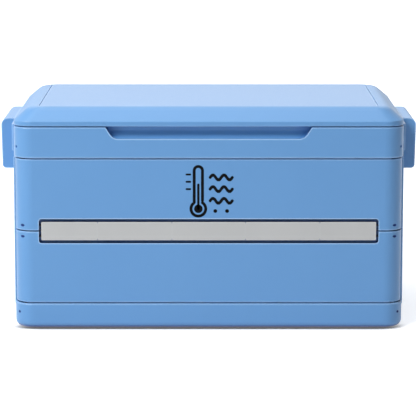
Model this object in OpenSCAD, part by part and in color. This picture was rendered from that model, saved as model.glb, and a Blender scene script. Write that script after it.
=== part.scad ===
// Folding insulated box: base tray, four folding wall halves, two swinging end walls,
// a top frame with a grip at each end, and a hinged lid.
// X runs to the right, Y to the back, Z up. The origin is the centre of the underside.

/* [Overall] */
// Width of the base and the frame
body_w = 530; // [480:5:600]
// Depth of the base and the frame
body_d = 338; // [320:2:400]
// Radius of the four upright corners
corner_r = 26; // [25:0.5:30]
// Radius of the mouldings' outer edges along the seams
edge_r = 1.5; // [0.6:0.1:1.8]
// Open seam between neighbouring mouldings
seam = 1.2; // [0.8:0.1:1.4]

/* [Walls] */
// Thickness of every outer moulded shell
shell_t = 3; // [2.6:0.1:3.2]
// Thickness of the inner liners
liner_t = 2; // [1.5:0.1:2.4]
// Thickness of the closing flanges round a shell
flange_t = 2.5; // [2:0.1:3]
// Height of one folding half wall
half_h = 98.2; // [92:0.2:108]
// How far the folding walls stand inside the body outline
wall_inset = 1.6; // [1.4:0.1:1.8]
// Thickness of a folding wall, foam and liner included
wall_t = 15; // [14.6:0.1:15.4]
// Length of the side returns of a folding wall, from the front face
return_l = 30; // [28:0.5:34]

/* [Base] */
// Height of the base tray
base_h = 34.2; // [33:0.2:38]
// Radius of its lower edge
base_edge_r = 9; // [7:0.5:10]
// Foam under the floor liner
floor_foam_t = 8; // [7:0.2:8.4]
// Height of the base pivots above the ground
base_pivot_z = 21.6; // [21.4:0.1:22.4]
// Depth of the base pivots behind the front face
base_pivot_in = 9; // [8.8:0.1:9.4]
// How far the end rims of the base are cut down for the end walls
rim_drop = 6.7; // [6:0.1:8]

/* [Fold hinge] */
// Radius of the fold pins
pin_r = 1.25; // [1:0.05:1.4]
// Radial clearance of a pin in its bore
pin_fit = 0.05; // [0.02:0.01:0.08]
// Radius of the knuckles round the fold pins
knuckle_r = 2.5; // [2.2:0.1:2.6]
// Depth of the two middle pivots behind the front face
mid_pivot_in = 6.2; // [6:0.1:6.6]
// Distance between the two middle pivots
link_l = 15.4; // [14:0.2:16]
// Height of the link bar
bar_h = 25; // [24:0.2:27]
// Length of the link bar
bar_w = 454.8; // [430:0.4:456]
// Thickness of its face plate
bar_t = 1.2; // [1:0.1:1.3]
// How far the link bar's face lies behind the wall's face
bar_recess = 0.7; // [0.6:0.05:0.8]
// Height of the pocket round the link bar
pocket_h = 33.6; // [32:0.2:35]
// Gap between the link bar's ends and the pocket
pocket_gap = 3.4; // [3:0.2:4.5]
// Corner radius of the pocket
pocket_r = 4; // [2:0.5:6]
// Inner and outer ends of the wall knuckles along the bar
knuckle_span = [50, 151];

/* [Frame] */
// Height of the top frame
frame_h = 42.2; // [42:0.2:46]
// Width of the frame's rails
rail_w = 20; // [19.5:0.5:21]
// Thickness of the frame's top deck
deck_t = 3; // [2.5:0.1:3.2]
// Height of the frame pivots above the frame's lower edge
frame_pivot_up = 14.8; // [14:0.1:15]
// Depth of the frame pivots behind the front face
frame_pivot_in = 11.9; // [11.7:0.1:12]
// Top width of the finger recess under the lid
recess_w = 279; // [240:1:320]
// Height of the finger recess
recess_h = 16; // [12:0.5:17]
// Radius of the recess's lower corners
recess_r = 13; // [9:0.5:15]
// Slope of the recess's ends, in degrees
recess_a = 57.5; // [50:0.5:70]
// Depth of the finger recess
recess_d = 13; // [10:0.5:14]
// Thickness of the end pads behind the grips
pad_t = 4; // [3:0.2:5]
// Half length of the end pads
pad_half = 128; // [100:1:132]
// Height of the end pads
pad_h = 37; // [34:0.2:38]

/* [End walls] */
// Thickness of an end wall
end_t = 14; // [13.5:0.1:14.5]
// How far an end wall stands outside the base
end_proud = 1.5; // [1.2:0.1:1.8]
// Distance of the swing axis inside the body's end
swing_in = 7.5; // [7.3:0.1:7.6]
// Distance of the swing axis below the frame's top
swing_down = 14.4; // [14.2:0.1:15]
// Radius of the swing rods
rod_r = 2; // [1.8:0.05:2.1]
// Radial clearance of the swing rods
rod_fit = 0.05; // [0.03:0.01:0.08]
// Radius of the swing barrel
barrel_r = 4.2; // [4:0.05:4.3]
// Half length of the swing barrel
barrel_half = 42; // [36:1:43]
// Height of the sealing lip above an end wall
lip_h = 19.2; // [17:0.2:19.6]
// Width of the lugs beside the swing barrel
lug_w = 9; // [7:0.5:12]

/* [Lid] */
// Height of the lid's upright rim
rim_h = 7.4; // [6:0.2:9]
// Rise of the lid's slope above the rim
slope_h = 17; // [15:0.2:19]
// Run of the lid's slope
slope_run = 21; // [18:0.5:24]
// Radius between the lid's slope and its flat top
crest_r = 20; // [8:1:26]
// Corner radius in plan where the flat top begins
crest_corner_r = 18; // [10:1:28]
// Half width of the inset top panel
top_half_w = 230.6; // [215:0.2:232]
// Half depth of the inset top panel
top_half_d = 134; // [125:0.5:136]
// Thickness of the inset top panel
top_t = 2.2; // [1.8:0.1:2.4]
// Radius of the top panel's upper edges
top_edge_r = 1.4; // [0.5:0.1:1.8]
// Groove round the inset top panel
top_gap = 0.6; // [0.4:0.1:1.2]
// Inset of the lid's plug from the body outline
plug_in = 25; // [24:0.5:27]
// Depth of the plug below the frame's top
plug_drop = 6.9; // [4:0.1:7]
// Free height between the gasket and the frame
gasket_gap = 0.3; // [0.2:0.05:0.4]
// Width of the gasket
gasket_w = 4; // [3:0.5:6]
// Radius of the lid hinge barrels
hinge_r = 4.5; // [4:0.1:4.6]
// Radius of the lid hinge pins
hinge_pin_r = 2; // [1.8:0.1:2.2]
// Distance of each lid hinge from the middle
hinge_x = 150; // [120:1:180]
// Length of one lid hinge
hinge_w = 60; // [48:1:70]

/* [Grips] */
// Length of a grip
grip_w = 140; // [120:1:150]
// How far a grip stands above the frame's top
grip_rise = 1; // [0:0.1:1.5]
// Height of a grip
grip_h = 70.2; // [62:0.2:72]
// Reach of a grip from the body's end
grip_out = 23.4; // [21:0.2:27]
// Wall thickness of a grip
grip_t = 4; // [3.5:0.1:4.5]
// Radius of a grip's top outer edge
grip_top_r = 9.5; // [7:0.5:11]
// Radius of a grip's lower outer edge
grip_low_r = 5; // [4:0.5:6]
// Inward lean of a grip's outer face
grip_lean = 1.2; // [0.8:0.1:3]
// Radius of the grip screws
screw_r = 2; // [1.8:0.1:2.2]
// Radius of the screw heads
head_r = 3.5; // [3.2:0.1:3.8]
// Height of the screw heads
head_h = 2.2; // [1.8:0.1:2.4]
// Distance of the upper screws below the frame's top
top_screw_down = 12.5; // [12:0.5:14]
// Distance of the lower screws below the frame's top
low_screw_down = 28; // [26:0.5:29]

/* [Hidden] */
$fn = 64;
eps = 0.01;
far = 900;
x_end = body_w / 2;
y_end = body_d / 2;

// Levels, from the ground up
z_floor = shell_t + floor_foam_t + liner_t;
z_low = base_h + seam;
z_low_top = z_low + half_h;
z_up = z_low_top + seam;
z_up_top = z_up + half_h;
z_mid = (z_low_top + z_up) / 2;
z_frame = z_up_top + seam;
z_frame_top = z_frame + frame_h;
z_lid = z_frame_top + seam;
z_rim_top = z_lid + rim_h;
z_top = z_rim_top + slope_h;

// Depths behind the front face
wall_in = wall_inset + wall_t;
liner_in = wall_in - liner_t;
pocket_floor = mid_pivot_in + knuckle_r + 0.9;
bar_face = wall_inset + bar_recess;

// Pivots, as depth behind the front face and height
frame_pivot = [frame_pivot_in, z_frame + frame_pivot_up];
upper_pivot = [mid_pivot_in, z_mid + link_l / 2];
lower_pivot = [mid_pivot_in, z_mid - link_l / 2];
base_pivot = [base_pivot_in, base_pivot_z];
pin_bore_r = pin_r + pin_fit;
pin_mouth_r = pin_r + 0.35;
pin_sunk = 3;
foot_gap = 0.5;
groove_in = 14;
groove_w = 8;
groove_d = 1.2;
ear_gap = 0.8;
ear_x = x_end - wall_in + ear_gap / 2;

// End walls
end_half = y_end - return_l - seam;
end_x1 = x_end + end_proud;
end_x0 = end_x1 - end_t;
z_end = base_h - rim_drop + 0.5;
z_end_top = z_up_top - 0.4;
swing_x = x_end - swing_in;
swing_z = z_frame_top - swing_down;
end_skin_t = 1;
foot_rib_h = 7;
end_edge_r = 1.5;

// Frame
web_t = 2.5;
pad_r = 2.5;
z_web = frame_pivot[1] + 8.6;
z_pad = z_frame_top - pad_h;

// Lid
z_flange = z_lid + 2.4;
flange_gap = 0.4;
hinge_y = y_end + hinge_r + 0.5;
hinge_z = z_frame_top + seam / 2;
rim_r = 2;
panel_r = 3;
plug_r = 6;
leaf_t = 2;
knuckle_gap = 0.4;
gasket_in = plug_in - 5;
z_gasket = z_lid + 1.6;

// Grips
z_grip = z_frame_top + grip_rise - grip_h;
grip_x1 = x_end + grip_out;
wall_gap = 0.7;
boss_r = screw_r + 2.4;
boss_l = 10;
boss_y = grip_w / 2 - grip_t - boss_r + 1;
boss_z = [z_frame_top - low_screw_down, z_frame_top - top_screw_down];
screw_fit = 0.2;

blue = "#6c9fd4";
pale = "#dfe6ec";
foam_white = "#f4f2ea";
steel = "#b9bcc0";
grey = "#b7b8b7";

// ---------------------------------------------------------------- functions

// Points of an arc of radius r about [cx, cy], from angle a0 to a1
function arc(cx, cy, r, a0, a1, n = 8) =
    [for (i = [0:n]) let (a = a0 + (a1 - a0) * i / n) [cx + r * cos(a), cy + r * sin(a)]];

// X of the rounded corner's face, for an outline inset by inset, at a depth behind the front
function corner_x(inset, depth) =
    x_end - corner_r + sqrt(pow(corner_r - inset, 2) - pow(corner_r - depth, 2));

// ---------------------------------------------------------------- shared shapes

// Rounded rectangle about the origin
module rounded_rect(w, d, r) {
    square([w - 2 * r, d], center = true);
    square([w, d - 2 * r], center = true);
    for (x = [-1, 1], y = [-1, 1])
        translate([x * (w / 2 - r), y * (d / 2 - r)]) circle(r);
}

// Body outline, inset by a distance
module outline(inset = 0) {
    rounded_rect(body_w - 2 * inset, body_d - 2 * inset, corner_r - inset);
}

// Body outline as a slab between two heights
module slab(inset, z0, z1) {
    translate([0, 0, z0]) linear_extrude(z1 - z0) outline(inset);
}

// Ring between two insets and two heights
module ring(outer, inner, z0, z1) {
    translate([0, 0, z0]) linear_extrude(z1 - z0) difference() {
        outline(outer);
        outline(inner);
    }
}

// Sweeps a profile round a rounded rectangle, by default the body outline: 0 is the outer
// face, the inside is negative
module around(w = body_w, d = body_d, r = corner_r) {
    for (k = [0:3]) {
        a = (k % 2 == 0 ? w : d) / 2 - r;
        b = (k % 2 == 0 ? d : w) / 2 - r;
        rotate([0, 0, 90 * k]) translate([a, b, 0]) {
            rotate([90, 0, 0]) linear_extrude(2 * b) translate([r, 0]) children();
            rotate_extrude(angle = 90) translate([r, 0]) children();
        }
    }
}

// What a rounded edge of this radius leaves off, drawn with the material towards -X and -Y
module edge_waste(r) {
    difference() {
        translate([-r, -r]) square([r + 1, r + 1]);
        translate([-r, -r]) circle(r);
    }
}

// Cuts the outer edge of a moulding round: z is the edge's height, up is 1 where the
// moulding lies below the edge and -1 where it lies above
module round_edge(inset, z, up, r = edge_r) {
    around() translate([-inset, z]) scale([1, up]) edge_waste(r);
}

// Cuts a straight edge round: drawn at the edge, with the material towards -X and -Y
module edge_bar(l, r) {
    linear_extrude(l) edge_waste(r);
}

// Box between two corners
module box(p, q) {
    translate(p) cube(q - p);
}

// Profile drawn as [depth behind the front, height], run from x0 to x1
module along_front(x0, x1) {
    translate([x0, -y_end, 0]) rotate([90, 0, 90]) linear_extrude(x1 - x0) children();
}

// Outline drawn as [x, height], run from one depth to another behind the front
module into_front(depth0, depth1) {
    translate([0, depth1 - y_end, 0]) rotate([90, 0, 0]) linear_extrude(depth1 - depth0) children();
}

// Round bar along X at a pivot, from x0 to x1
module pivot_bar(pivot, r, x0, x1) {
    translate([x0, pivot[0] - y_end, pivot[1]]) rotate([0, 90, 0]) cylinder(h = x1 - x0, r = r);
}

module both_sides() {
    children();
    mirror([1, 0, 0]) children();
}

module to_back() {
    mirror([0, 1, 0]) children();
}

// ---------------------------------------------------------------- base

// Tub form of the base, inset by t all round
module tub(t, top) {
    r = base_edge_r;
    around() union() {
        translate([-corner_r, r]) square([corner_r - t, top - r]);
        translate([-corner_r, t]) square([corner_r - r, r]);
        translate([-r, r]) circle(r - t);
    }
    box([corner_r - x_end, corner_r - y_end, t], [x_end - corner_r, y_end - corner_r, top]);
}

module base_shell() {
    color(blue) difference() {
        union() {
            difference() {
                tub(0, base_h);
                tub(shell_t, base_h + 5);
            }
            both_sides() for (side = [0, 1]) mirror([0, side, 0]) base_ear();
        }
        both_sides() box([x_end - return_l, return_l - y_end, base_h - rim_drop],
                         [far, y_end - return_l, far]);
        for (side = [0, 1]) mirror([0, side, 0]) corner_bores(base_pivot);
        round_edge(0, base_h, 1);
        // Stacking groove in the underside
        ring(groove_in, groove_in + groove_w, -1, groove_d);
    }
}

// Ear that carries the front right base pin
module base_ear() {
    intersection() {
        slab(eps, z_floor, base_h);
        box([ear_x, -far, z_floor], [far, wall_in - y_end, base_pivot_z + 8]);
    }
}

// Bores of one pivot in both corners of the front, wider where the pin's end shows
module corner_bores(pivot, inset = 0) {
    both_sides() {
        pivot_bar(pivot, pin_bore_r, ear_x - 12, x_end);
        pivot_bar(pivot, pin_mouth_r, corner_x(inset, pivot[0]) - pin_sunk - 0.1, x_end);
    }
}

module base_foam() {
    color(foam_white) intersection() {
        tub(shell_t, base_h);
        slab(0, 0, shell_t + floor_foam_t);
    }
}

module base_liner() {
    color(pale) slab(shell_t, shell_t + floor_foam_t, z_floor);
}

// ---------------------------------------------------------------- folding walls

// Part of a front wall between two insets and two heights, its side returns included
module wall_part(outer, inner, z0, z1, y_stop = return_l) {
    intersection() {
        ring(outer, inner, z0, z1);
        box([-far, -far, z0], [far, y_stop - y_end, z1]);
    }
}

// Pocket round the link bar, grown by g
module bar_pocket(g = 0, depth0 = -1) {
    into_front(depth0, pocket_floor + g) translate([0, z_mid])
        rounded_rect(bar_w + 2 * (pocket_gap + g), pocket_h + 2 * g, pocket_r + g);
}

// Shell of one half wall between z0 and z1, with its pocket, knuckles and bores
module half_shell(z0, z1, mid_pivot) {
    difference() {
        union() {
            difference() {
                wall_part(wall_inset, liner_in, z0, z1);
                difference() {
                    wall_part(wall_inset + shell_t, liner_in + 1, z0 + flange_t, z1 - flange_t,
                              return_l - flange_t);
                    bar_pocket(web_t);
                    pin_blocks(mid_pivot);
                }
                bar_pocket();
            }
            both_sides() wall_knuckle(mid_pivot);
        }
        pivot_bar(mid_pivot, pin_bore_r, -x_end, x_end);
        both_sides() pivot_bar(mid_pivot, pin_mouth_r,
                               corner_x(wall_inset, mid_pivot_in) - pin_sunk - 0.1, x_end);
        round_edge(wall_inset, z0, -1);
        round_edge(wall_inset, z1, 1);
    }
}

// Solid blocks that hold the ends of a middle pin beside the pocket
module pin_blocks(pivot) {
    both_sides() box([bar_w / 2, -y_end, pivot[1] - 4], [x_end, pocket_floor - y_end, pivot[1] + 4]);
}

// Knuckle of a wall on a middle pin
module wall_knuckle(pivot) {
    along_front(knuckle_span[0] + 0.4, knuckle_span[1] - 0.4) translate(pivot) {
        circle(knuckle_r);
        translate([0, -knuckle_r]) square([pocket_floor - pivot[0] + 0.5, 2 * knuckle_r]);
    }
}

// Foam of a half wall
module half_foam(z0, z1, mid_pivot) {
    color(foam_white) difference() {
        wall_part(wall_inset + shell_t, liner_in, z0 + flange_t, z1 - flange_t, return_l - flange_t);
        bar_pocket(web_t);
        pin_blocks(mid_pivot);
    }
}

// Liner of a half wall
module half_liner(z0, z1) {
    color(pale) wall_part(liner_in, wall_in, z0, z1);
}

// Rounded foot of the lower half, which turns on the base pins inside the tray
module lower_foot() {
    inner = wall_in - base_pivot[0];
    intersection() {
        slab(shell_t + foot_gap, z_floor, z_low);
        along_front(ear_gap - ear_x, ear_x - ear_gap) translate(base_pivot) {
            circle(inner);
            translate([-inner, 0]) square([2 * inner, z_low - base_pivot_z]);
        }
    }
}

// Rounded head of the upper half, which turns on the frame pins
module upper_head() {
    inner = wall_in - frame_pivot[0];
    drop = frame_pivot[1] - z_up_top;
    intersection() {
        slab(shell_t + foot_gap, z_up_top, z_web);
        along_front(ear_gap - ear_x, ear_x - ear_gap) translate(frame_pivot) {
            circle(inner);
            translate([-frame_pivot[0], -drop]) square([frame_pivot[0] + inner, drop]);
        }
    }
}

module front_lower_shell() {
    color(blue) difference() {
        union() {
            half_shell(z_low, z_low_top, lower_pivot);
            lower_foot();
        }
        corner_bores(base_pivot);
    }
}

module front_lower_foam() { half_foam(z_low, z_low_top, lower_pivot); }

module front_lower_liner() { half_liner(z_low, z_low_top); }

module front_upper_shell() {
    color(blue) difference() {
        union() {
            half_shell(z_up, z_up_top, upper_pivot);
            upper_head();
        }
        corner_bores(frame_pivot);
    }
}

module front_upper_foam() { half_foam(z_up, z_up_top, upper_pivot); }

module front_upper_liner() { half_liner(z_up, z_up_top); }

module back_lower_shell() { to_back() front_lower_shell(); }

module back_lower_foam() { to_back() front_lower_foam(); }

module back_lower_liner() { to_back() front_lower_liner(); }

module back_upper_shell() { to_back() front_upper_shell(); }

module back_upper_foam() { to_back() front_upper_foam(); }

module back_upper_liner() { to_back() front_upper_liner(); }

// ---------------------------------------------------------------- link bars and fold pins

// Barrel of the link bar on both middle pins, between x0 and x1
module link_barrel(x0, x1) {
    along_front(x0, x1) {
        for (p = [upper_pivot, lower_pivot]) translate(p) circle(knuckle_r);
        translate([mid_pivot_in - knuckle_r, lower_pivot[1]]) square([2 * knuckle_r, link_l]);
        translate([bar_face, lower_pivot[1]]) square([mid_pivot_in - bar_face, link_l]);
    }
}

module front_link_bar() {
    color(grey) difference() {
        union() {
            into_front(bar_face, bar_face + bar_t) translate([0, z_mid])
                rounded_rect(bar_w, bar_h, 1.3);
            link_barrel(0.4 - knuckle_span[0], knuckle_span[0] - 0.4);
            both_sides() link_barrel(knuckle_span[1] + 0.4, bar_w / 2 - 0.6);
        }
        for (p = [upper_pivot, lower_pivot]) pivot_bar(p, pin_bore_r, -x_end, x_end);
        both_sides() for (x = knuckle_span, z = [-1, 1])
            box([x - 0.4, -y_end, z_mid + z * bar_h / 2 - 2], [x + 0.4, 5 - y_end, z_mid + z * bar_h / 2 + 2]);
    }
}

module back_link_bar() { to_back() front_link_bar(); }

module front_fold_pins() {
    mid_end = corner_x(wall_inset, mid_pivot_in) - pin_sunk;
    color(steel) {
        for (p = [upper_pivot, lower_pivot]) pivot_bar(p, pin_r, -mid_end, mid_end);
        both_sides() for (p = [frame_pivot, base_pivot])
            pivot_bar(p, pin_r, ear_x - 11, corner_x(0, p[0]) - pin_sunk);
    }
}

module back_fold_pins() { to_back() front_fold_pins(); }

// ---------------------------------------------------------------- top frame

// Finger recess under the lid, grown by g
module finger_recess(g = 0) {
    low = recess_h + g;
    r = recess_r + g;
    t = r * tan(recess_a / 2);
    x_top = recess_w / 2 + g / sin(recess_a);
    x_low = x_top - low / tan(recess_a);
    over = 2;
    scoop_r = recess_d - 2 + g;
    intersection() {
        into_front(-1, recess_d + g) translate([0, z_frame_top]) {
            for (s = [-1, 1]) translate([s * (x_low - t), r - low]) circle(r);
            polygon([
                [x_top + over / tan(recess_a), over],
                [x_low + t * cos(recess_a), t * sin(recess_a) - low],
                [x_low - t, -low],
                [t - x_low, -low],
                [-x_low - t * cos(recess_a), t * sin(recess_a) - low],
                [-x_top - over / tan(recess_a), over]
            ]);
        }
        along_front(-x_end, x_end) translate([0, z_frame_top]) {
            translate([-2, -low]) square([recess_d + g - scoop_r + 2, low + 9]);
            translate([-2, scoop_r - low]) square([recess_d + g + 2, low - scoop_r + 9]);
            translate([recess_d + g - scoop_r, scoop_r - low]) circle(scoop_r);
        }
    }
}

// Closed box of the front rail
module front_rail() {
    intersection() {
        slab(eps, z_web, z_frame_top);
        difference() {
            box([-x_end, -y_end, z_web], [x_end, rail_w - y_end, z_frame_top]);
            box([shell_t - x_end, shell_t - y_end, z_web + web_t],
                [x_end - shell_t, rail_w - web_t - y_end, z_frame_top - deck_t]);
        }
    }
}

// Ear that carries the front right frame pin
module frame_ear() {
    intersection() {
        slab(eps, z_frame, z_web + 1);
        box([ear_x, -far, frame_pivot[1] - 7], [x_end - 1, wall_in - y_end, z_web + 1]);
    }
}

// End pad behind the right grip
module end_pad() {
    box([x_end - 1, -pad_half, z_pad], [x_end + pad_t, pad_half, z_frame_top]);
}

// Cuts round the pad's outer edges
module pad_edges() {
    for (side = [0, 1]) mirror([0, side, 0])
        translate([x_end + pad_t, pad_half, z_pad - 1]) edge_bar(pad_h + 2, pad_r);
    translate([x_end + pad_t, pad_half + 1, z_pad]) rotate([90, 0, 0]) mirror([0, 1, 0])
        edge_bar(2 * pad_half + 2, pad_r);
}

// Lug beside the swing barrel
module swing_lug() {
    y0 = barrel_half + seam;
    difference() {
        box([swing_x - barrel_r, y0, swing_z - barrel_r], [x_end, y0 + lug_w, z_frame_top - 1]);
        translate([swing_x, y0 - 1, swing_z]) rotate([-90, 0, 0])
            cylinder(h = lug_w - 1, r = rod_r + rod_fit);
    }
}

module top_frame() {
    color(blue) difference() {
        union() {
            difference() {
                union() {
                    ring(0, shell_t, z_frame, z_frame_top);
                    ring(0, rail_w, z_frame_top - deck_t, z_frame_top);
                    front_rail();
                    to_back() front_rail();
                    both_sides() end_pad();
                }
                both_sides() box([x_end - shell_t - 1, -y_end + rail_w, z_frame - 1],
                                 [x_end - end_skin_t, y_end - rail_w, z_frame_top - deck_t]);
            }
            intersection() {
                slab(eps, z_frame, z_frame_top);
                finger_recess(web_t);
            }
            both_sides() for (side = [0, 1]) mirror([0, side, 0]) {
                frame_ear();
                swing_lug();
            }
        }
        finger_recess();
        both_sides() pad_edges();
        round_edge(0, z_frame, -1);
        round_edge(0, z_frame_top, 1);
        for (side = [0, 1]) mirror([0, side, 0]) corner_bores(frame_pivot);
        screw_places() translate([0, 0, -pad_t - end_skin_t - 1])
            cylinder(h = pad_t + end_skin_t + 2, r = screw_r + screw_fit);
    }
}

module frame_foam() {
    color(foam_white) for (side = [0, 1]) mirror([0, side, 0]) difference() {
        intersection() {
            slab(shell_t, z_web + web_t, z_frame_top - deck_t);
            box([-far, -far, 0], [far, rail_w - web_t - y_end, far]);
        }
        if (side == 0) finger_recess(web_t);
    }
}

// ---------------------------------------------------------------- grips

// Places of the grip screws on both ends, with +Z pointing outwards
module screw_places() {
    both_sides() for (y = [-boss_y, boss_y], z = boss_z)
        translate([x_end + pad_t, y, z]) rotate([0, 90, 0]) children();
}

// Side view of a grip's outer form, drawn as [x, z]; t is the distance inside it
module grip_profile(t, back, bottom) {
    top = z_frame_top + grip_rise - t;
    polygon(concat(
        [[back, bottom], [back, top]],
        arc(grip_x1 - grip_top_r, z_frame_top + grip_rise - grip_top_r, grip_top_r - t, 90, 0, 12),
        arc(grip_x1 - grip_lean - grip_low_r, z_grip + grip_low_r, grip_low_r - t, 0, -90)
    ));
}

module right_handle() {
    color(blue) difference() {
        union() {
            difference() {
                translate([0, grip_w / 2, 0]) rotate([90, 0, 0]) linear_extrude(grip_w)
                    grip_profile(0, x_end + end_proud + wall_gap, z_grip);
                translate([0, grip_w / 2 - grip_t, 0]) rotate([90, 0, 0])
                    linear_extrude(grip_w - 2 * grip_t) {
                        grip_profile(grip_t, x_end, z_grip + grip_t);
                        translate([x_end, z_grip - 1])
                            square([grip_out - grip_lean - grip_t, grip_t + 3]);
                    }
            }
            for (y = [-boss_y, boss_y], z = boss_z)
                translate([x_end + pad_t, y, z]) rotate([0, 90, 0]) cylinder(h = boss_l, r = boss_r);
        }
        box([x_end - 1, -pad_half, z_pad - 0.2], [x_end + pad_t, pad_half, far]);
        screw_places() translate([0, 0, -1]) cylinder(h = boss_l - 1, r = screw_r);
    }
}

module left_handle() { mirror([1, 0, 0]) right_handle(); }

module handle_screws() {
    seat = pad_t + end_skin_t;
    color(steel) screw_places() {
        translate([0, 0, -seat]) cylinder(h = seat + boss_l - 2.4, r = screw_r);
        translate([0, 0, -seat - head_h]) cylinder(h = head_h, r = head_r);
    }
}

// ---------------------------------------------------------------- lid hinges

// One knuckle at the hinge axis with its web to a leaf, from x0, w wide
module hinge_knuckle(x0, w, z0, z1, bore) {
    difference() {
        union() {
            translate([x0, hinge_y, hinge_z]) rotate([0, 90, 0]) cylinder(h = w, r = hinge_r);
            box([x0, y_end, z0], [x0 + w, hinge_y, z1]);
        }
        translate([x0 - 1, hinge_y, hinge_z]) rotate([0, 90, 0]) cylinder(h = w + 2, r = bore);
    }
}

// Leaves on the back of the frame, with the outer knuckles
module frame_hinge_leaves() {
    w = hinge_w / 4;
    top = hinge_z - hinge_r - 0.6;
    color(blue) both_sides() {
        for (x0 = [hinge_x - hinge_w / 2, hinge_x + hinge_w / 2 - w])
            hinge_knuckle(x0, w, top - 2, z_frame_top - edge_r, hinge_pin_r);
        box([hinge_x - hinge_w / 2, y_end, z_web + 1], [hinge_x + hinge_w / 2, y_end + leaf_t, top]);
    }
}

// Leaves on the back of the lid's rim, with the middle knuckles
module lid_hinge_leaves() {
    w = hinge_w / 2 - 2 * knuckle_gap;
    color(blue) both_sides()
        hinge_knuckle(hinge_x - w / 2, w, z_lid + edge_r, hinge_z + hinge_r - 0.2,
                      hinge_pin_r + rod_fit);
}

module lid_hinge_pins() {
    color(steel) both_sides() translate([hinge_x - hinge_w / 2, hinge_y, hinge_z])
        rotate([0, 90, 0]) cylinder(h = hinge_w, r = hinge_pin_r);
}

// ---------------------------------------------------------------- end walls

module right_end_shell() {
    color(blue) difference() {
        union() {
            difference() {
                box([end_x0 + liner_t, -end_half, z_end], [end_x1, end_half, z_end_top]);
                box([end_x0, flange_t - end_half, z_end + flange_t],
                    [end_x1 - shell_t, end_half - flange_t, z_end_top - flange_t]);
            }
            // Sealing lip, foot rib, leaf and swing barrel
            box([end_x0 + liner_t, -end_half, z_end_top - 1],
                [swing_x + 0.5, end_half, z_end_top + lip_h]);
            box([swing_x - 2, -end_half, z_end - foot_rib_h],
                [x_end - shell_t - 0.6, end_half, z_end + 1]);
            box([end_x0 + liner_t, -barrel_half, z_end_top + lip_h - 1],
                [swing_x + 0.5, barrel_half, swing_z]);
            translate([swing_x, -barrel_half, swing_z]) rotate([-90, 0, 0])
                cylinder(h = 2 * barrel_half, r = barrel_r);
        }
        translate([swing_x, -body_d / 2, swing_z]) rotate([-90, 0, 0])
            cylinder(h = body_d, r = rod_r + rod_fit);
        for (side = [0, 1]) mirror([0, side, 0])
            translate([end_x1, end_half, z_end - 1]) edge_bar(z_end_top - z_end + 2, end_edge_r);
        translate([end_x1, -end_half - 1, z_end_top]) rotate([-90, 0, 0]) mirror([0, 1, 0])
            edge_bar(2 * end_half + 2, end_edge_r);
        translate([end_x1, end_half + 1, z_end]) rotate([90, 0, 0]) mirror([0, 1, 0])
            edge_bar(2 * end_half + 2, end_edge_r);
    }
}

module right_end_foam() {
    color(foam_white) box([end_x0 + liner_t, flange_t - end_half, z_end + flange_t],
                          [end_x1 - shell_t, end_half - flange_t, z_end_top - flange_t]);
}

module right_end_liner() {
    color(pale) box([end_x0, -end_half, z_end], [end_x0 + liner_t, end_half, z_end_top + lip_h]);
}

module left_end_shell() { mirror([1, 0, 0]) right_end_shell(); }

module left_end_foam() { mirror([1, 0, 0]) right_end_foam(); }

module left_end_liner() { mirror([1, 0, 0]) right_end_liner(); }

module end_wall_rods() {
    half = barrel_half + seam + lug_w - 2;
    color(steel) both_sides() translate([swing_x, -half, swing_z]) rotate([-90, 0, 0])
        cylinder(h = 2 * half, r = rod_r);
}

// ---------------------------------------------------------------- lid

// Section of the lid from the rim up to the flat top, as [inset, height] from the rim's top
function lid_section() =
    let (a = atan2(slope_h, slope_run), reach = crest_r * tan(a / 2))
    concat(
        [for (i = [0:3]) let (b = i * (90 - a) / 3)
            [rim_r * (1 - cos(b)), rim_r * (sin(b) - 1 + tan(a / 2) * 0.3)]],
        [for (i = [0:6]) let (b = a - i * a / 6)
            [slope_run + reach - crest_r * sin(b), slope_h - crest_r * (1 - cos(b))]]
    );

// Lid's form, inset by t, from z0 up to the flat top
module lid_form(t, z0) {
    rise = z_rim_top - t;
    hull() {
        translate([0, 0, z0]) linear_extrude(eps) outline(t);
        for (p = lid_section())
            translate([0, 0, rise + p[1] - eps]) linear_extrude(eps)
                rounded_rect(body_w - 2 * (p[0] + t), body_d - 2 * (p[0] + t),
                             corner_r - t + (crest_corner_r - corner_r) * p[1] / slope_h);
    }
}

module lid_shell() {
    color(blue) {
        difference() {
            lid_form(0, z_lid);
            lid_form(shell_t, z_lid - 1);
            box([-top_half_w - top_gap, -top_half_d - top_gap, z_top - top_t],
                [top_half_w + top_gap, top_half_d + top_gap, z_top + 1]);
            round_edge(0, z_lid, -1, 1);
        }
        box([-top_half_w - 5, -top_half_d - 5, z_top - top_t - shell_t],
            [top_half_w + 5, top_half_d + 5, z_top - top_t]);
    }
}

// Inset top panel, its upper edges rounded
module lid_top_panel() {
    w = 2 * top_half_w;
    d = 2 * top_half_d;
    color("#b8d5f7") difference() {
        translate([0, 0, z_top - top_t]) linear_extrude(top_t) rounded_rect(w, d, panel_r);
        around(w, d, panel_r) translate([0, z_top]) edge_waste(top_edge_r);
    }
}

// Foam of the lid, a little clear of the shell along its crest
module lid_foam() {
    inset = shell_t + slope_run + 1.5;
    r = crest_corner_r - shell_t;
    color(foam_white) {
        hull() {
            slab(shell_t + flange_gap, z_flange, z_flange + 0.4);
            translate([0, 0, z_top - top_t - shell_t - 0.5]) linear_extrude(0.5)
                rounded_rect(body_w - 2 * inset, body_d - 2 * inset, r);
        }
        plug_slab(plug_in + liner_t, z_frame_top - plug_drop + liner_t, z_flange + shell_t);
    }
}

// Block of the lid's plug, inset from the body outline
module plug_slab(inset, z0, z1) {
    translate([0, 0, z0]) linear_extrude(z1 - z0)
        rounded_rect(body_w - 2 * inset, body_d - 2 * inset, plug_r - inset + plug_in);
}

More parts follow.
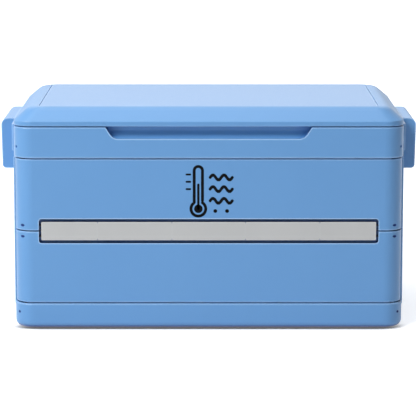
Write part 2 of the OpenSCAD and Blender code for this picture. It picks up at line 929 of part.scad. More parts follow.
module lid_liner() {
    z0 = z_frame_top - plug_drop;
    color(pale) difference() {
        union() {
            slab(shell_t + flange_gap, z_lid, z_flange);
            plug_slab(plug_in, z0, z_lid + 1);
        }
        plug_slab(plug_in + liner_t, z0 + liner_t, far);
        ring(gasket_in - gasket_w, gasket_in, z_lid - 1, z_gasket);
    }
}

module lid_gasket() {
    color("#3a4048") ring(gasket_in - gasket_w, gasket_in, z_frame_top + gasket_gap, z_gasket);
}

// ---------------------------------------------------------------- parts shown

base_shell();
base_foam();
base_liner();
front_lower_shell();
front_lower_foam();
front_lower_liner();
front_upper_shell();
front_upper_foam();
front_upper_liner();
back_lower_shell();
back_lower_foam();
back_lower_liner();
back_upper_shell();
back_upper_foam();
back_upper_liner();
front_link_bar();
back_link_bar();
front_fold_pins();
back_fold_pins();
top_frame();
frame_foam();
left_handle();
right_handle();
handle_screws();
end_wall_rods();
lid_hinge_pins();
frame_hinge_leaves();
lid_hinge_leaves();
lid_shell();
lid_top_panel();
lid_foam();
lid_liner();
lid_gasket();
left_end_shell();
left_end_foam();
left_end_liner();
right_end_shell();
right_end_foam();
right_end_liner();
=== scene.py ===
"""Looks of the folding insulated box: finishes, printed badge, edges, studio and camera.

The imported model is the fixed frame. Each sub-assembly is a class that dresses its own
nodes, and the few pieces made here ride on the bodies of that frame.
"""

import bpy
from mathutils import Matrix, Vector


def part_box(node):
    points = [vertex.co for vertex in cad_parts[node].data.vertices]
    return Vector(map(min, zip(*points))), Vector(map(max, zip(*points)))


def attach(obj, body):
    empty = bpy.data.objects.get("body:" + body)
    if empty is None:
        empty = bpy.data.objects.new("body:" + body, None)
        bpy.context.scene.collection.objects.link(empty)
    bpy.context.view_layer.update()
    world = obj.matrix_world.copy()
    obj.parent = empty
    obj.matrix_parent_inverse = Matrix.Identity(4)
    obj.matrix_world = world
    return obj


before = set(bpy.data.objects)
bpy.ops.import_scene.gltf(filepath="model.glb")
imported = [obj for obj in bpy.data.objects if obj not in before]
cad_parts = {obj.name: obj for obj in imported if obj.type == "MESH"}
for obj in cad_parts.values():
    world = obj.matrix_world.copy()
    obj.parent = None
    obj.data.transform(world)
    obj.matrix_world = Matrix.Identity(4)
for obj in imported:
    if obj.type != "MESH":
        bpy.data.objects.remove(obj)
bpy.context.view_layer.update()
CAD_FRONT_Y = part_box("base_shell")[0][1]

import logging
import math
from dataclasses import dataclass, field
from enum import Enum
from typing import Any

import bmesh
import bpy
from mathutils import Vector

LOG = logging.getLogger("insulated_box")
MM = 0.001
MAIN_BODY = "body"
# Axes of the fold pins' bores, as distance from the middle along Y and height, in mm
FOLD_BORES = ((157.1, 249.0), (162.8, 141.9), (162.8, 126.5), (160.0, 21.6))
# Levels between which the grain's noise mostly lies
NOISE_LOW = 0.3
NOISE_HIGH = 0.7


class Side(Enum):
    """The two folding walls, as their nodes spell them."""

    FRONT = "front"
    BACK = "back"


class End(Enum):
    """The two end walls, as their nodes spell them."""

    LEFT = "left"
    RIGHT = "right"


# ------------------------------------------------------------------ helpers


def linear(hex_colour: str, alpha: float = 1.0) -> tuple[float, float, float, float]:
    """Turns an sRGB hex colour into linear values.

    Args:
        hex_colour: Colour such as "#6C9FD4".
        alpha: Opacity.

    Returns:
        Red, green, blue and alpha for a node socket.
    """
    text = hex_colour.lstrip("#")
    parts = [int(text[i:i + 2], 16) / 255 for i in (0, 2, 4)]
    lin = [c / 12.92 if c <= 0.04045 else ((c + 0.055) / 1.055) ** 2.4 for c in parts]
    return (lin[0], lin[1], lin[2], alpha)


def add_node(tree: bpy.types.NodeTree, kind: str, inputs: dict[Any, Any] | None = None,
             **settings: Any) -> bpy.types.Node:
    """Adds a shader node with its settings, values and links.

    Args:
        tree: Node tree of the material or world.
        kind: Type of the node.
        inputs: Socket name or number to a value, or to an output socket to link from.
        **settings: Properties of the node itself.

    Returns:
        The new node.
    """
    node = tree.nodes.new(kind)
    for key, value in settings.items():
        setattr(node, key, value)
    for key, value in (inputs or {}).items():
        if isinstance(value, bpy.types.NodeSocket):
            tree.links.new(value, node.inputs[key])
        else:
            node.inputs[key].default_value = value
    return node


def new_material(name: str) -> tuple[bpy.types.Material, bpy.types.NodeTree]:
    """Makes an empty node material.

    Args:
        name: Name of the finish.

    Returns:
        The material and its cleared node tree.
    """
    material = bpy.data.materials.new(name)
    material.use_nodes = True
    material.node_tree.nodes.clear()
    return material, material.node_tree


def dress(name: str, material: bpy.types.Material) -> None:
    """Gives a node of the frame its material.

    Args:
        name: Name of the node.
        material: Finish for all of its faces.
    """
    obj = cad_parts[name]
    if not obj.material_slots:
        obj.data.materials.append(material)
    for slot in obj.material_slots:
        slot.link = "OBJECT"
        slot.material = material
    LOG.info("dressed %s as %s", name, material.name)


def mesh_piece(name: str, verts: list[tuple[float, float, float]], faces: list[list[int]],
               material: bpy.types.Material) -> None:
    """Makes a piece from vertices and faces and lets it ride on the main body.

    Args:
        name: Name of the piece.
        verts: Corners in metres, in the frame.
        faces: Faces as lists of vertex numbers.
        material: Finish.
    """
    mesh = bpy.data.meshes.new(name)
    mesh.from_pydata(verts, [], faces)
    work = bmesh.new()
    work.from_mesh(mesh)
    bmesh.ops.recalc_face_normals(work, faces=work.faces)
    work.to_mesh(mesh)
    work.free()
    mesh.materials.append(material)
    obj = bpy.data.objects.new(name, mesh)
    bpy.context.scene.collection.objects.link(obj)
    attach(obj, MAIN_BODY)
    LOG.info("made %s on %s", name, MAIN_BODY)


# ------------------------------------------------------------------ finishes


@dataclass(frozen=True)
class MouldedPolypropylene:
    """Injection-moulded polypropylene: satin, finely grained from an etched mould.

    The grain gives a wide soft highlight. Large parts show faint uneven shading
    where the melt flowed and cooled. Edges get a painted highlight, a lighter band,
    and narrow gaps and holes get painted shade, a deeper colour, where the gap
    colour is darker, and painted light where it is lighter.
    """

    name: str
    colour: str
    flow_colour: str
    grain_mm: float = 1.1  # etched grain is 0.3 mm wide, made coarser so that it shows
    grain_depth_mm: float = 0.012
    grain_strength: float = 0.35
    flow_mm: float = 95.0  # length over which the melt's shading changes
    roughness: float = 0.36
    roughness_swing: float = 0.06
    # painted highlight: the band along the edges is mixed towards this colour
    edge_highlight_colour: str = "#B2D5F8"
    edge_mm: float = 2.8  # a painted highlight lightens a band this wide along the edges
    edge_share: float = 1.0
    edge_full: float = 0.95  # cosine of the turn at which the band is whole
    edge_none: float = 0.999
    # painted into narrow gaps and holes: painted shade where it is darker than the part, painted
    # light where it is lighter
    gap_light_and_shade_colour: str = "#083C86"
    gap_mm: float = 11.0  # gaps narrower than about this get the painted gap colour
    gap_closed: float = 0.2  # open share of the surroundings at which the painted gap colour is whole
    gap_open: float = 0.6
    bores: tuple[tuple[float, float], ...] = ()
    bore_mm: float = 1.6
    bore_shade_mm: tuple[float, float] = (0.1, 0.4)  # painted shade on the bore's wall fades out this far past the bore
    bore_unhighlighted_mm: tuple[float, float] = (2.4, 3.2)  # round a bore the edge gets no painted highlight
    ior: float = 1.49
    specular: float = 0.5

    def build(self) -> bpy.types.Material:
        """Makes the material.

        Returns:
            The material.
        """
        material, tree = new_material(self.name)
        place = add_node(tree, "ShaderNodeTexCoord")
        flow = add_node(tree, "ShaderNodeTexNoise", {
            "Vector": place.outputs["Object"], "Scale": 1 / (self.flow_mm * MM), "Detail": 3.0,
            "Roughness": 0.5})
        grain = add_node(tree, "ShaderNodeTexNoise", {
            "Vector": place.outputs["Object"], "Scale": 1 / (self.grain_mm * MM), "Detail": 2.0,
            "Roughness": 0.6})
        plain = add_node(tree, "ShaderNodeMix", {
            "Factor": flow.outputs["Fac"], "A": linear(self.colour),
            "B": linear(self.flow_colour)}, data_type="RGBA")
        # share that is 0 deep in narrow gaps and in the bores, where the gap colour is painted as
        # shade and light
        openness = self.beyond_bores(tree, self.openness(tree), self.bore_shade_mm)
        # painted highlight along the edges, left out round the bores
        edge_highlight_share = add_node(tree, "ShaderNodeMath", {
            0: self.painted_edge_highlight(tree), 1: self.beyond_bores(tree, openness, self.bore_unhighlighted_mm)},
            operation="MULTIPLY")
        highlighted_colour = add_node(tree, "ShaderNodeMix", {
            "Factor": edge_highlight_share.outputs["Value"], "A": plain.outputs["Result"],
            "B": linear(self.edge_highlight_colour)}, data_type="RGBA")
        colour = add_node(tree, "ShaderNodeMix", {
            "Factor": openness, "A": linear(self.gap_light_and_shade_colour), "B": highlighted_colour.outputs["Result"]},
            data_type="RGBA")
        satin = add_node(tree, "ShaderNodeMapRange", {
            "Value": grain.outputs["Fac"], "From Min": NOISE_LOW, "From Max": NOISE_HIGH,
            "To Min": self.roughness - self.roughness_swing,
            "To Max": self.roughness + self.roughness_swing})
        bump = add_node(tree, "ShaderNodeBump", {
            "Height": grain.outputs["Fac"], "Strength": self.grain_strength,
            "Distance": self.grain_depth_mm * MM})
        shader = add_node(tree, "ShaderNodeBsdfPrincipled", {
            "Base Color": colour.outputs["Result"], "Roughness": satin.outputs["Result"],
            "IOR": self.ior, "Specular IOR Level": self.specular,
            "Normal": bump.outputs["Normal"]})
        add_node(tree, "ShaderNodeOutputMaterial", {"Surface": shader.outputs["BSDF"]})
        return material

    def beyond_bores(self, tree: bpy.types.NodeTree, share: bpy.types.NodeSocket,
                     fade_mm: tuple[float, float]) -> bpy.types.NodeSocket:
        """Adds the nodes that fade a share out round the axes of the pin bores.

        Args:
            tree: Node tree of the material.
            share: Output to fade.
            fade_mm: Distances past the bore's wall where the share starts and is whole.

        Returns:
            Output with the faded share, or the share itself where there are no bores.
        """
        if not self.bores:
            return share
        place = add_node(tree, "ShaderNodeTexCoord")
        mirrored = add_node(tree, "ShaderNodeVectorMath", {0: place.outputs["Object"]},
                            operation="ABSOLUTE")
        across = add_node(tree, "ShaderNodeVectorMath", {
            0: mirrored.outputs["Vector"], 1: (0.0, 1.0, 1.0)}, operation="MULTIPLY")
        for depth, height in self.bores:
            away = add_node(tree, "ShaderNodeVectorMath", {
                0: across.outputs["Vector"], 1: (0.0, depth * MM, height * MM)},
                operation="DISTANCE")
            ring = add_node(tree, "ShaderNodeMapRange", {
                "Value": away.outputs["Value"],
                "From Min": (self.bore_mm + fade_mm[0]) * MM,
                "From Max": (self.bore_mm + fade_mm[1]) * MM})
            both = add_node(tree, "ShaderNodeMath", {0: share, 1: ring.outputs["Result"]},
                            operation="MULTIPLY")
            share = both.outputs["Value"]
        return share

    def openness(self, tree: bpy.types.NodeTree) -> bpy.types.NodeSocket:
        """Adds the nodes that find narrow gaps and holes, where the gap colour is painted in.

        Args:
            tree: Node tree of the material.

        Returns:
            Output that is 1 on open faces and 0 deep in a gap.
        """
        around = add_node(tree, "ShaderNodeAmbientOcclusion", {
            "Distance": self.gap_mm * MM}, samples=8)
        share = add_node(tree, "ShaderNodeMapRange", {
            "Value": around.outputs["AO"], "From Min": self.gap_closed,
            "From Max": self.gap_open})
        return share.outputs["Result"]

    def painted_edge_highlight(self, tree: bpy.types.NodeTree) -> bpy.types.NodeSocket:
        """Adds the nodes that find the part's edges, where the painted highlight goes.

        Args:
            tree: Node tree of the material.

        Returns:
            Output that is 0 on a flat face and edge_share at an edge.
        """
        rounded = add_node(tree, "ShaderNodeBevel", {"Radius": self.edge_mm * MM}, samples=6)
        face = add_node(tree, "ShaderNodeNewGeometry")
        agree = add_node(tree, "ShaderNodeVectorMath", {
            0: rounded.outputs["Normal"], 1: face.outputs["Normal"]}, operation="DOT_PRODUCT")
        band = add_node(tree, "ShaderNodeMapRange", {
            "Value": agree.outputs["Value"], "From Min": self.edge_full,
            "From Max": self.edge_none, "To Min": self.edge_share, "To Max": 0.0})
        return band.outputs["Result"]


@dataclass(frozen=True)
class MouldedFoam:
    """Expanded foam core: matt, off-white, made of beads pressed together.

    The beads meet in slightly darker, sunken seams.
    """

    name: str = "expanded_foam"
    colour: str = "#EDEAE0"
    seam_colour: str = "#CFCBBE"
    bead_mm: float = 3.0
    seam_share: float = 0.12  # distance from a seam, in beads, at which its colour ends
    seam_depth_mm: float = 0.3
    seam_strength: float = 0.5
    roughness: float = 0.85

    def build(self) -> bpy.types.Material:
        """Makes the material.

        Returns:
            The material.
        """
        material, tree = new_material(self.name)
        place = add_node(tree, "ShaderNodeTexCoord")
        beads = add_node(tree, "ShaderNodeTexVoronoi", {
            "Vector": place.outputs["Object"], "Scale": 1 / (self.bead_mm * MM)},
            feature="DISTANCE_TO_EDGE")
        ramp = add_node(tree, "ShaderNodeValToRGB", {"Fac": beads.outputs["Distance"]})
        ramp.color_ramp.elements[0].color = linear(self.seam_colour)
        ramp.color_ramp.elements[1].color = linear(self.colour)
        ramp.color_ramp.elements[1].position = self.seam_share
        bump = add_node(tree, "ShaderNodeBump", {
            "Height": beads.outputs["Distance"], "Strength": self.seam_strength,
            "Distance": self.seam_depth_mm * MM})
        shader = add_node(tree, "ShaderNodeBsdfPrincipled", {
            "Base Color": ramp.outputs["Color"], "Roughness": self.roughness,
            "Normal": bump.outputs["Normal"]})
        add_node(tree, "ShaderNodeOutputMaterial", {"Surface": shader.outputs["BSDF"]})
        return material


@dataclass(frozen=True)
class DrawnSteel:
    """Drawn steel wire: bright, with faint lines along its length."""

    name: str = "drawn_steel"
    colour: str = "#A9ACB0"
    line_mm: float = 0.4  # lines from the die are 0.1 mm wide, made coarser so that they show
    stretch: float = 0.04  # the pattern's scale along X, the way the pins were drawn
    smooth: float = 0.22  # roughness on and between the lines
    rough: float = 0.42

    def build(self) -> bpy.types.Material:
        """Makes the material.

        Returns:
            The material.
        """
        material, tree = new_material(self.name)
        place = add_node(tree, "ShaderNodeTexCoord")
        stretch = add_node(tree, "ShaderNodeMapping", {
            "Vector": place.outputs["Object"], "Scale": (self.stretch, 1.0, 1.0)})
        lines = add_node(tree, "ShaderNodeTexNoise", {
            "Vector": stretch.outputs["Vector"], "Scale": 1 / (self.line_mm * MM), "Detail": 2.0})
        rough = add_node(tree, "ShaderNodeMapRange", {
            "Value": lines.outputs["Fac"], "To Min": self.smooth, "To Max": self.rough})
        shader = add_node(tree, "ShaderNodeBsdfPrincipled", {
            "Base Color": linear(self.colour), "Metallic": 1.0,
            "Roughness": rough.outputs["Result"]})
        add_node(tree, "ShaderNodeOutputMaterial", {"Surface": shader.outputs["BSDF"]})
        return material


@dataclass(frozen=True)
class FoamRubber:
    """Soft black rubber of the gasket: matt, with fine pores."""

    name: str = "foam_rubber"
    colour: str = "#2E3238"
    pore_mm: float = 0.8
    pore_depth_mm: float = 0.1
    pore_strength: float = 0.4
    roughness: float = 0.78

    def build(self) -> bpy.types.Material:
        """Makes the material.

        Returns:
            The material.
        """
        material, tree = new_material(self.name)
        place = add_node(tree, "ShaderNodeTexCoord")
        pores = add_node(tree, "ShaderNodeTexNoise", {
            "Vector": place.outputs["Object"], "Scale": 1 / (self.pore_mm * MM), "Detail": 3.0})
        bump = add_node(tree, "ShaderNodeBump", {
            "Height": pores.outputs["Fac"], "Strength": self.pore_strength,
            "Distance": self.pore_depth_mm * MM})
        shader = add_node(tree, "ShaderNodeBsdfPrincipled", {
            "Base Color": linear(self.colour), "Roughness": self.roughness,
            "Normal": bump.outputs["Normal"]})
        add_node(tree, "ShaderNodeOutputMaterial", {"Surface": shader.outputs["BSDF"]})
        return material


@dataclass(frozen=True)
class PadPrintInk:
    """Black pad-printed ink: thin, matt, a little uneven where the pad pressed."""

    name: str = "pad_print_ink"
    colour: str = "#050506"
    thin_colour: str = "#0C0D0F"
    patch_mm: float = 6.0
    roughness: float = 0.75
    specular: float = 0.1

    def build(self) -> bpy.types.Material:
        """Makes the material.

        Returns:
            The material.
        """
        material, tree = new_material(self.name)
        place = add_node(tree, "ShaderNodeTexCoord")
        patch = add_node(tree, "ShaderNodeTexNoise", {
            "Vector": place.outputs["Object"], "Scale": 1 / (self.patch_mm * MM), "Detail": 3.0})
        ramp = add_node(tree, "ShaderNodeValToRGB", {"Fac": patch.outputs["Fac"]})
        ramp.color_ramp.elements[0].color = linear(self.colour)
        ramp.color_ramp.elements[1].color = linear(self.thin_colour)
        shader = add_node(tree, "ShaderNodeBsdfPrincipled", {
            "Base Color": ramp.outputs["Color"], "Roughness": self.roughness,
            "Specular IOR Level": self.specular})
        add_node(tree, "ShaderNodeOutputMaterial", {"Surface": shader.outputs["BSDF"]})
        return material


@dataclass
class Finishes:
    """All finishes of the box, each built once."""

    blue: bpy.types.Material = field(init=False)
    blue_frame: bpy.types.Material = field(init=False)
    blue_panel: bpy.types.Material = field(init=False)
    blue_lid: bpy.types.Material = field(init=False)
    grey: bpy.types.Material = field(init=False)
    liner: bpy.types.Material = field(init=False)
    foam: bpy.types.Material = field(init=False)
    steel: bpy.types.Material = field(init=False)
    shade_dark_steel: bpy.types.Material = field(init=False)
    rubber: bpy.types.Material = field(init=False)
    ink: bpy.types.Material = field(init=False)

    def __post_init__(self) -> None:
        """Builds the materials."""
        self.blue = MouldedPolypropylene(
            "light_blue_polypropylene", "#679ED4", "#649BD2", bores=FOLD_BORES).build()
        # the frame, lid and top-panel copies differ in painted light and shade: the frame has a
        # brighter, wider painted gap shade for its recess, the lid and panel a light painted gap
        # colour in their grooves, and the lid less painted edge highlight
        self.blue_frame = MouldedPolypropylene(
            "light_blue_polypropylene_frame", "#679ED4", "#649BD2", bores=FOLD_BORES,
            gap_light_and_shade_colour="#0464B2", gap_mm=18.0, gap_open=0.76).build()
        self.blue_panel = MouldedPolypropylene(
            "light_blue_polypropylene_top", "#6DA0D5", "#6A9DD3", roughness=0.35,
            gap_light_and_shade_colour="#C4DCF8").build()
        self.blue_lid = MouldedPolypropylene(
            "light_blue_polypropylene_lid", "#679ED4", "#649BD2", gap_light_and_shade_colour="#C4DCF8",
            edge_share=0.3).build()
        self.grey = MouldedPolypropylene(
            "grey_polypropylene", "#C6C6C4", "#BFBFBD", roughness=0.45,
            edge_highlight_colour="#CFD0CF", gap_light_and_shade_colour="#5E6166").build()
        self.liner = MouldedPolypropylene(
            "pale_liner_polypropylene", "#DDE3E8", "#D7DEE4", grain_mm=2.0, roughness=0.3,
            edge_highlight_colour="#E6EBEF", gap_light_and_shade_colour="#9AA3AC").build()
        self.foam = MouldedFoam().build()
        self.steel = DrawnSteel().build()
        # the fold pins' steel is painted dark as painted shade, so that the bores they sit in read
        # dark
        self.shade_dark_steel = DrawnSteel("steel_darkened_as_bore_shade", "#3C4046").build()
        self.rubber = FoamRubber().build()
        self.ink = PadPrintInk().build()


def smooth_edges(name: str, width_mm: float, angle_deg: float) -> None:
    """Rounds the hard edges of a node a little, as a mould leaves them.

    Args:
        name: Name of the node.
        width_mm: Width of the rounding.
        angle_deg: Edges that turn by more than this are rounded.
    """
    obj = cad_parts[name]
    bevel = obj.modifiers.new("mould_edge", "BEVEL")
    bevel.width = width_mm * MM
    bevel.segments = 2
    bevel.limit_method = "ANGLE"
    bevel.angle_limit = math.radians(angle_deg)
    bevel.harden_normals = False


# ------------------------------------------------------------------ sub-assemblies


@dataclass
class BaseTray:
    """Tray that the box stands on, with its foam and floor liner."""

    finishes: Finishes

    def build(self) -> None:
        """Dresses the tray's nodes."""
        dress("base_shell", self.finishes.blue)
        dress("base_foam", self.finishes.foam)
        dress("base_liner", self.finishes.liner)


@dataclass
class FoldingWall:
    """Front or back wall in two halves, with its link bar and fold pins."""

    finishes: Finishes
    side: Side

    def build(self) -> None:
        """Dresses the wall's nodes."""
        for half in ("lower", "upper"):
            dress(f"{self.side.value}_{half}_shell", self.finishes.blue)
            dress(f"{self.side.value}_{half}_foam", self.finishes.foam)
            dress(f"{self.side.value}_{half}_liner", self.finishes.liner)
        dress(f"{self.side.value}_link_bar", self.finishes.grey)
        dress(f"{self.side.value}_fold_pins", self.finishes.shade_dark_steel)


@dataclass
class TopFrame:
    """Top frame with its foam, grips, hinge leaves, screws, rods and lid hinge pins."""

    finishes: Finishes
    frame_edge_mm: float = 1.0
    frame_edge_deg: float = 32.0
    grip_edge_mm: float = 1.6
    grip_edge_deg: float = 40.0

    def build(self) -> None:
        """Dresses the frame's nodes and rounds its edges and those of the grips."""
        dress("top_frame", self.finishes.blue_frame)
        smooth_edges("top_frame", self.frame_edge_mm, self.frame_edge_deg)
        for name in ("left_handle", "right_handle"):
            dress(name, self.finishes.blue)
            smooth_edges(name, self.grip_edge_mm, self.grip_edge_deg)
        dress("frame_hinge_leaves", self.finishes.blue)
        dress("frame_foam", self.finishes.foam)
        for name in ("handle_screws", "end_wall_rods", "lid_hinge_pins"):
            dress(name, self.finishes.steel)


@dataclass
class EndWall:
    """One swinging end wall."""

    finishes: Finishes
    end: End

    def build(self) -> None:
        """Dresses the end wall's nodes."""
        dress(f"{self.end.value}_end_shell", self.finishes.blue)
        dress(f"{self.end.value}_end_foam", self.finishes.foam)
        dress(f"{self.end.value}_end_liner", self.finishes.liner)


@dataclass
class Lid:
    """Lid with its hinge leaves, inset panel, foam, liner and gasket."""

    finishes: Finishes

    def build(self) -> None:
        """Dresses the lid's nodes."""
        dress("lid_shell", self.finishes.blue_lid)
        dress("lid_hinge_leaves", self.finishes.blue)
        dress("lid_top_panel", self.finishes.blue_panel)
        dress("lid_foam", self.finishes.foam)
        dress("lid_liner", self.finishes.liner)
        dress("lid_gasket", self.finishes.rubber)


@dataclass
class PrintedBadge:
    """Printed line drawing on the upper front wall: a thermometer beside waves and drops.

    Places are X and height in millimetres, from the badge's centre.
    """

    finishes: Finishes
    centre_z_mm: float = 190.0
    height_mm: float = 70.0
    line_mm: float = 4.0
    ink_mm: float = 0.06  # how far the ink stands proud of the wall
    bite_mm: float = 0.02  # how far it reaches into the wall
    cap_steps: int = 8
    wave_steps: int = 20
    disc_steps: int = 40
    bulb_steps: int = 36
    dome_steps: int = 12
    tube_x: float = -14.0
    tube_r: float = 5.6
    tube_lap: float = 3.0  # the outline's end runs this far up its own start
    bulb_r: float = 10.0
    bulb_fill_r: float = 5.8
    column_top: float = 8.0
    column_line_mm: float = 3.2
    mark_heights: tuple[float, ...] = (22.0, 12.0, 2.0)
    mark_reach: tuple[float, float] = (16.0, 11.0)  # from the tube's middle
    mark_line_mm: float = 2.6
    wave_heights: tuple[float, ...] = (18.0, 2.0, -14.0)
    wave_x: float = 2.0
    wave_length: float = 30.0
    wave_turns: int = 2
    wave_rise: float = 3.6
    drop_places: tuple[float, ...] = (9.0, 25.0)
    drop_height: float = -28.0
    drop_r: float = 2.6

    def stroke(self, name: str, points: list[tuple[float, float]], width_mm: float) -> None:
        """Lays one printed line with round ends.

        Args:
            name: Name of the piece.
            points: Points of its middle line.
            width_mm: Width of the line.
        """
        half = width_mm / 2
        left: list[tuple[float, float]] = []
        right: list[tuple[float, float]] = []
        last = len(points) - 1
        for i, (x, z) in enumerate(points):
            x0, z0 = points[max(i - 1, 0)]
            x1, z1 = points[min(i + 1, last)]
            run = math.hypot(x1 - x0, z1 - z0)
            nx, nz = -(z1 - z0) / run, (x1 - x0) / run
            left.append((x + nx * half, z + nz * half))
            right.append((x - nx * half, z - nz * half))
        outline = left + self.cap(points[last], points[last - 1], half)
        outline += list(reversed(right)) + self.cap(points[0], points[1], half)
        self.print_shape(name, outline)

    def cap(self, end: tuple[float, float], before: tuple[float, float],
            radius: float) -> list[tuple[float, float]]:
        """Finds a round line end.

        Args:
            end: End of the middle line.
            before: Its neighbour.
            radius: Half of the line's width.

        Returns:
            Points of the half circle, without its two ends.
        """
        heading = math.atan2(end[1] - before[1], end[0] - before[0])
        turns = [heading + math.pi / 2 - math.pi * k / self.cap_steps
                 for k in range(1, self.cap_steps)]
        return [(end[0] + radius * math.cos(a), end[1] + radius * math.sin(a)) for a in turns]

    def disc(self, name: str, x: float, z: float, radius: float) -> None:
        """Prints a filled disc.

        Args:
            name: Name of the piece.
            x: Centre across.
            z: Centre height.
            radius: Radius in millimetres.
        """
        turns = [2 * math.pi * k / self.disc_steps for k in range(self.disc_steps)]
        self.print_shape(name, [(x + radius * math.cos(a), z + radius * math.sin(a))
                                for a in turns])

    def print_shape(self, name: str, outline: list[tuple[float, float]]) -> None:
        """Makes a thin film of ink with this outline.

        Args:
            name: Name of the piece.
            outline: Corners of the film.
        """
        wall_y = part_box("front_upper_shell")[0][1]
        count = len(outline)
        verts = [(x * MM, y, (self.centre_z_mm + z) * MM)
                 for y in (wall_y - self.ink_mm * MM, wall_y + self.bite_mm * MM)
                 for x, z in outline]
        faces = [list(range(count)), list(reversed(range(count, 2 * count)))]
        faces += [[i, (i + 1) % count, count + (i + 1) % count, count + i] for i in range(count)]
        mesh_piece(name, verts, faces, self.finishes.ink)

    def thermometer(self) -> list[tuple[float, float]]:
        """Finds the thermometer's outline: round the bulb, up one side, over the top and down.

        Returns:
            Points of the outline's middle line.
        """
        half = self.height_mm / 2
        bulb_z = self.bulb_r - half
        join = math.asin(self.tube_r / self.bulb_r)
        start = math.pi / 2 - join
        sweep = 2 * math.pi - 2 * join
        turns = [start - sweep * k / self.bulb_steps for k in range(self.bulb_steps + 1)]
        bulb = [(self.tube_x + self.bulb_r * math.cos(a), bulb_z + self.bulb_r * math.sin(a))
                for a in turns]
        dome_z = half - self.tube_r - self.line_mm / 2
        turns = [math.pi * k / self.dome_steps for k in range(self.dome_steps + 1)]
        dome = [(self.tube_x - self.tube_r * math.cos(a), dome_z + self.tube_r * math.sin(a))
                for a in turns]
        return bulb + dome + [(self.tube_x + self.tube_r, bulb[0][1] + self.tube_lap)]

    def wave(self, height: float) -> list[tuple[float, float]]:
        """Finds a wave line.

        Args:
            height: Height of its middle.

        Returns:
            Points of its middle line.
        """
        steps = self.wave_steps
        whole = 2 * math.pi * self.wave_turns
        return [(self.wave_x + self.wave_length * k / steps,
                 height + self.wave_rise * math.sin(whole * k / steps))
                for k in range(steps + 1)]

    def build(self) -> None:
        """Prints the thermometer, its scale, the waves and the drops."""
        bulb_z = self.bulb_r - self.height_mm / 2
        self.stroke("badge_thermometer", self.thermometer(), self.line_mm)
        self.disc("badge_bulb", self.tube_x, bulb_z, self.bulb_fill_r)
        self.stroke("badge_column", [(self.tube_x, bulb_z), (self.tube_x, self.column_top)],
                    self.column_line_mm)
        for i, z in enumerate(self.mark_heights):
            ends = [(self.tube_x - reach, z) for reach in self.mark_reach]
            self.stroke(f"badge_mark_{i}", ends, self.mark_line_mm)
        for i, z in enumerate(self.wave_heights):
            self.stroke(f"badge_wave_{i}", self.wave(z), self.line_mm)
        for i, x in enumerate(self.drop_places):
            self.disc(f"badge_drop_{i}", x, self.drop_height, self.drop_r)


# ------------------------------------------------------------------ studio


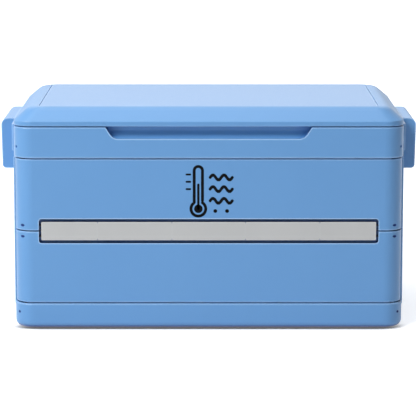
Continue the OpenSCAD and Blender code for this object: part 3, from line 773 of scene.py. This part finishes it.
@dataclass
class Studio:
    """Floor, world, lights and camera.

    Camera sizes are in millimetres, lamp and floor sizes in metres.
    """

    sensor_mm: float = 36.0
    lens_mm: float = 202.6
    pitch_deg: float = 9.07
    distance_mm: float = 3134.2  # from the base's front
    eye_mm: float = 666.7
    shift_mm: float = -0.9
    clip_end: float = 100.0
    room: float = 0.16  # strength of the light from all round
    gloss_front: float = 0.25  # backdrop that gloss shows in front, the one behind being 1
    gloss_turn: float = 0.3  # it changes between this much to the front and to the back
    floor_half: float = 30.0
    contact_mm: float = 21.0  # reach of the painted contact shadow where the box meets the floor
    contact_closed: float = 0.56  # open share of the surroundings at which the painted shadow is whole
    contact_open: float = 0.93
    contact_back_mm: float = 30.0  # the painted shadow fades out this far behind the front
    # colour of the painted contact shadow
    contact_shadow_colour: str = "#1A1418"
    paper_colour: str = "#E9EBEE"
    glow_near: float = 0.72  # the floor shines less near the box, where the lamps light it
    near: float = 0.7  # distance from the middle at which the shine starts to rise
    far: float = 2.2
    aim: tuple[float, float, float] = (0.0, 0.0, 0.15)

    def floor(self) -> None:
        """Makes the white floor with a painted contact shadow where the box's front meets it."""
        mesh = bpy.data.meshes.new("studio_floor")
        half = self.floor_half
        mesh.from_pydata([(-half, -half, 0), (half, -half, 0), (half, half, 0), (-half, half, 0)],
                         [], [(0, 1, 2, 3)])
        mesh.materials.append(self.paper())
        obj = bpy.data.objects.new("studio_floor", mesh)
        bpy.context.scene.collection.objects.link(obj)

    def paper(self) -> bpy.types.Material:
        """Makes the floor's material, which shines white to the camera and to gloss and has a
        painted contact shadow.

        Returns:
            The material.
        """
        material, tree = new_material("white_paper")
        path = add_node(tree, "ShaderNodeLightPath")
        seen = add_node(tree, "ShaderNodeMath", {
            0: path.outputs["Is Camera Ray"], 1: path.outputs["Is Glossy Ray"]},
            operation="MAXIMUM")
        # painted contact shadow: near the box's front, the floor's colour and its glow to the
        # camera darken
        contact = add_node(tree, "ShaderNodeAmbientOcclusion", {
            "Distance": self.contact_mm * MM}, samples=12)
        place = add_node(tree, "ShaderNodeTexCoord")
        axes = add_node(tree, "ShaderNodeSeparateXYZ", {0: place.outputs["Object"]})
        behind = add_node(tree, "ShaderNodeMapRange", {
            "Value": axes.outputs["Y"], "From Min": CAD_FRONT_Y,
            "From Max": CAD_FRONT_Y + self.contact_back_mm * MM})
        unseen = add_node(tree, "ShaderNodeMath", {0: 1.0, 1: path.outputs["Is Camera Ray"]},
                          operation="SUBTRACT")
        spared = add_node(tree, "ShaderNodeMath", {
            0: behind.outputs["Result"], 1: unseen.outputs["Value"]}, operation="MAXIMUM")
        shade = add_node(tree, "ShaderNodeMapRange", {
            "Value": contact.outputs["AO"], "From Min": self.contact_closed,
            "From Max": self.contact_open, "To Min": spared.outputs["Value"]})
        reach = add_node(tree, "ShaderNodeVectorMath", {0: place.outputs["Object"]},
                         operation="LENGTH")
        fill = add_node(tree, "ShaderNodeMapRange", {
            "Value": reach.outputs["Value"], "From Min": self.near, "From Max": self.far,
            "To Min": self.glow_near})
        white = add_node(tree, "ShaderNodeMath", {
            0: shade.outputs["Result"], 1: fill.outputs["Result"]}, operation="MULTIPLY")
        paper = add_node(tree, "ShaderNodeMix", {
            "Factor": shade.outputs["Result"], "A": linear(self.contact_shadow_colour),
            "B": linear(self.paper_colour)}, data_type="RGBA")
        glow = add_node(tree, "ShaderNodeMath", {
            0: seen.outputs["Value"], 1: white.outputs["Value"]}, operation="MULTIPLY")
        shader = add_node(tree, "ShaderNodeBsdfPrincipled", {
            "Base Color": paper.outputs["Result"], "Roughness": 0.9, "Specular IOR Level": 0.0,
            "Emission Color": linear("#FFFFFF"), "Emission Strength": glow.outputs["Value"]})
        add_node(tree, "ShaderNodeOutputMaterial", {"Surface": shader.outputs["BSDF"]})
        return material

    def world(self) -> None:
        """Sets a white backdrop behind the box, which its gloss reflects, and a weak room light."""
        world = bpy.data.worlds.new("studio")
        bpy.context.scene.world = world
        world.use_nodes = True
        tree = world.node_tree
        tree.nodes.clear()
        path = add_node(tree, "ShaderNodeLightPath")
        place = add_node(tree, "ShaderNodeTexCoord")
        axes = add_node(tree, "ShaderNodeSeparateXYZ", {0: place.outputs["Generated"]})
        behind = add_node(tree, "ShaderNodeMapRange", {
            "Value": axes.outputs["Y"], "From Min": -self.gloss_turn,
            "From Max": self.gloss_turn, "To Min": self.gloss_front})
        gloss = add_node(tree, "ShaderNodeMath", {
            0: path.outputs["Is Glossy Ray"], 1: behind.outputs["Result"]}, operation="MULTIPLY")
        seen = add_node(tree, "ShaderNodeMath", {
            0: path.outputs["Is Camera Ray"], 1: gloss.outputs["Value"]}, operation="MAXIMUM")
        room = add_node(tree, "ShaderNodeBackground", {
            "Color": linear("#F2F6FC"), "Strength": self.room})
        white = add_node(tree, "ShaderNodeBackground", {
            "Color": linear("#FFFFFF"), "Strength": 1.0})
        mix = add_node(tree, "ShaderNodeMixShader", {
            0: seen.outputs["Value"], 1: room.outputs["Background"],
            2: white.outputs["Background"]})
        add_node(tree, "ShaderNodeOutputWorld", {"Surface": mix.outputs["Shader"]})

    def lamp(self, name: str, place: tuple[float, float, float], size: float,
             power: float) -> None:
        """Adds a white area lamp that points at the middle of the box.

        Args:
            name: Name of the lamp.
            place: Where it stands, in metres.
            size: Side of its square, in metres.
            power: Power in watts.
        """
        data = bpy.data.lights.new(name, "AREA")
        data.size = size
        data.energy = power
        obj = bpy.data.objects.new(name, data)
        bpy.context.scene.collection.objects.link(obj)
        obj.location = place
        sight = Vector(self.aim) - Vector(place)
        obj.rotation_euler = sight.to_track_quat("-Z", "Y").to_euler()

    def camera(self) -> None:
        """Places the camera in front of the box, a little above it."""
        data = bpy.data.cameras.new("studio_camera")
        data.sensor_width = self.sensor_mm
        data.lens = self.lens_mm
        data.clip_end = self.clip_end
        obj = bpy.data.objects.new("studio_camera", data)
        bpy.context.scene.collection.objects.link(obj)
        obj.location = (self.shift_mm * MM, CAD_FRONT_Y - self.distance_mm * MM,
                        self.eye_mm * MM)
        obj.rotation_euler = (math.radians(90 - self.pitch_deg), 0.0, 0.0)
        bpy.context.scene.camera = obj

    def build(self) -> None:
        """Sets up the whole studio."""
        bpy.context.scene.view_settings.view_transform = "Standard"
        self.camera()
        self.floor()
        self.world()
        self.lamp("key_left", place=(-2.1, -2.0, 2.9), size=1.5, power=128.0)
        self.lamp("top_soft", place=(-0.3, 0.2, 3.0), size=2.2, power=34.0)
        self.lamp("back_soft", place=(-0.2, 3.4, 1.9), size=2.4, power=9.0)


def main() -> None:
    """Builds the box's looks in order."""
    logging.basicConfig(level=logging.INFO, format="%(name)s: %(message)s")
    Studio().build()
    finishes = Finishes()
    BaseTray(finishes).build()
    for side in Side:
        FoldingWall(finishes, side).build()
    TopFrame(finishes).build()
    for end in End:
        EndWall(finishes, end).build()
    Lid(finishes).build()
    PrintedBadge(finishes).build()
    LOG.info("all sub-assemblies built")


if __name__ == "__main__":
    main()
